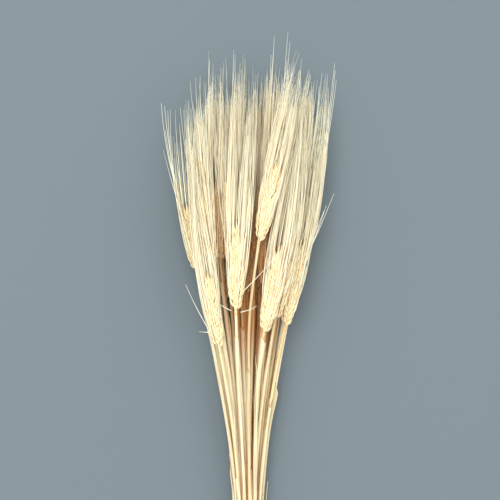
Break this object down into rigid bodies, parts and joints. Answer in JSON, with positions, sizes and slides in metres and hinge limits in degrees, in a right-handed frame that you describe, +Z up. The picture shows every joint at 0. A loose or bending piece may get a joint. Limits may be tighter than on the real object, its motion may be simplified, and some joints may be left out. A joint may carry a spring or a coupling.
{
  "type": "bundle of dried wheat",
  "caption": "Bundle of dried bearded wheat lying on its side: long straw stems tied with plain twine, plump husked ears and a fan of fine awns.",
  "frame": {"origin": "middle of the lying bundle's footprint, on the surface it rests on", "axes": "+Y along the bundle from the cut ends to the awn tips, +X across the fan of ears, +Z up"},
  "size_m": [0.1188, 0.5982, 0.0595],
  "materials": {
    "straw": "satin",
    "husk": "satin",
    "twine": "matte"
  },
  "bodies": {
    "root": {"stem_01": "straw", "ear_01": "husk", "stem_02": "straw", "ear_02": "husk", "stem_03": "straw", "ear_03": "husk", "stem_04": "straw", "ear_04": "husk", "stem_05": "straw", "ear_05": "husk", "stem_06": "straw", "ear_06": "husk", "stem_07": "straw", "ear_07": "husk", "stem_08": "straw", "ear_08": "husk", "stem_09": "straw", "ear_09": "husk", "stem_10": "straw", "ear_10": "husk", "stem_11": "straw", "ear_11": "husk", "stem_12": "straw", "ear_12": "husk", "stem_13": "straw", "ear_13": "husk", "stem_14": "straw", "ear_14": "husk", "stem_15": "straw", "ear_15": "husk", "stem_16": "straw", "ear_16": "husk", "stem_17": "straw", "ear_17": "husk", "stem_18": "straw", "ear_18": "husk", "stem_19": "straw", "ear_19": "husk", "stem_20": "straw", "ear_20": "husk", "stem_21": "straw", "ear_21": "husk", "stem_22": "straw", "ear_22": "husk", "stem_23": "straw", "ear_23": "husk", "stem_24": "straw", "ear_24": "husk", "stem_25": "straw", "ear_25": "husk", "stem_26": "straw", "ear_26": "husk", "stem_27": "straw", "ear_27": "husk", "stem_28": "straw", "ear_28": "husk", "twine_tie": "twine"}
  },
  "joints": []
}
